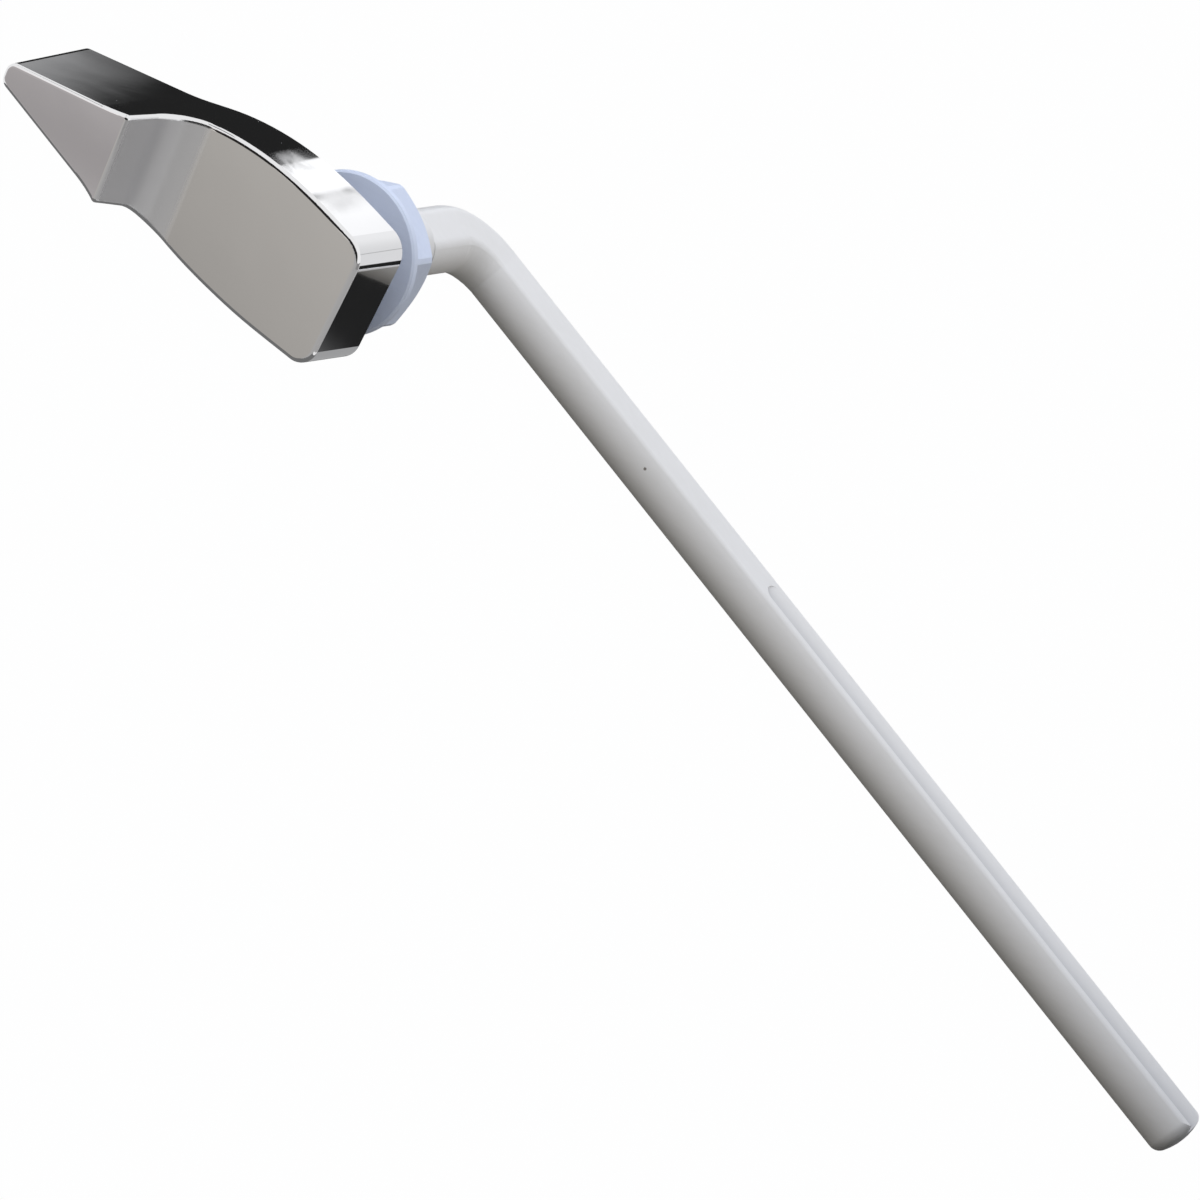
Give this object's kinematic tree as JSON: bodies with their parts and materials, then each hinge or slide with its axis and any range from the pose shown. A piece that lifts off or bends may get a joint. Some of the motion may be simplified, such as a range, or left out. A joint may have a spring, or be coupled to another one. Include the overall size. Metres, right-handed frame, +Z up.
{
  "type": "cistern lever",
  "caption": "Front-mounted cistern flush lever: plated paddle handle, keyed wall bushing with flanged nut, and a long elbowed plastic arm that lifts the flush valve chain.",
  "frame": {"origin": "on the spindle axis in the plane of the cistern wall's outer face, where the bushing's seat meets it", "axes": "+X along the wall to the user's right, +Y into the cistern along the spindle, +Z up"},
  "size_m": [0.2521, 0.1472, 0.1264],
  "materials": {
    "plated_handle": "polished",
    "white_plastic": "satin",
    "blue_plastic": "satin"
  },
  "bodies": {
    "bushing": {"mounting_bushing": "white_plastic"},
    "lever": {"handle": "plated_handle", "lever_arm": "white_plastic"},
    "nut": {"mounting_nut": "blue_plastic"}
  },
  "joints": [
    {"name": "lever_turn", "type": "hinge", "parent": "bushing", "child": "lever", "pos_m": [0, 0, 0], "axis": [0, -1, 0], "range_deg": [0, 40]},
    {"name": "nut_travel", "type": "slide", "parent": "bushing", "child": "nut", "axis": [0, 1, 0], "range_m": [-0.0016, 0.008]}
  ]
}
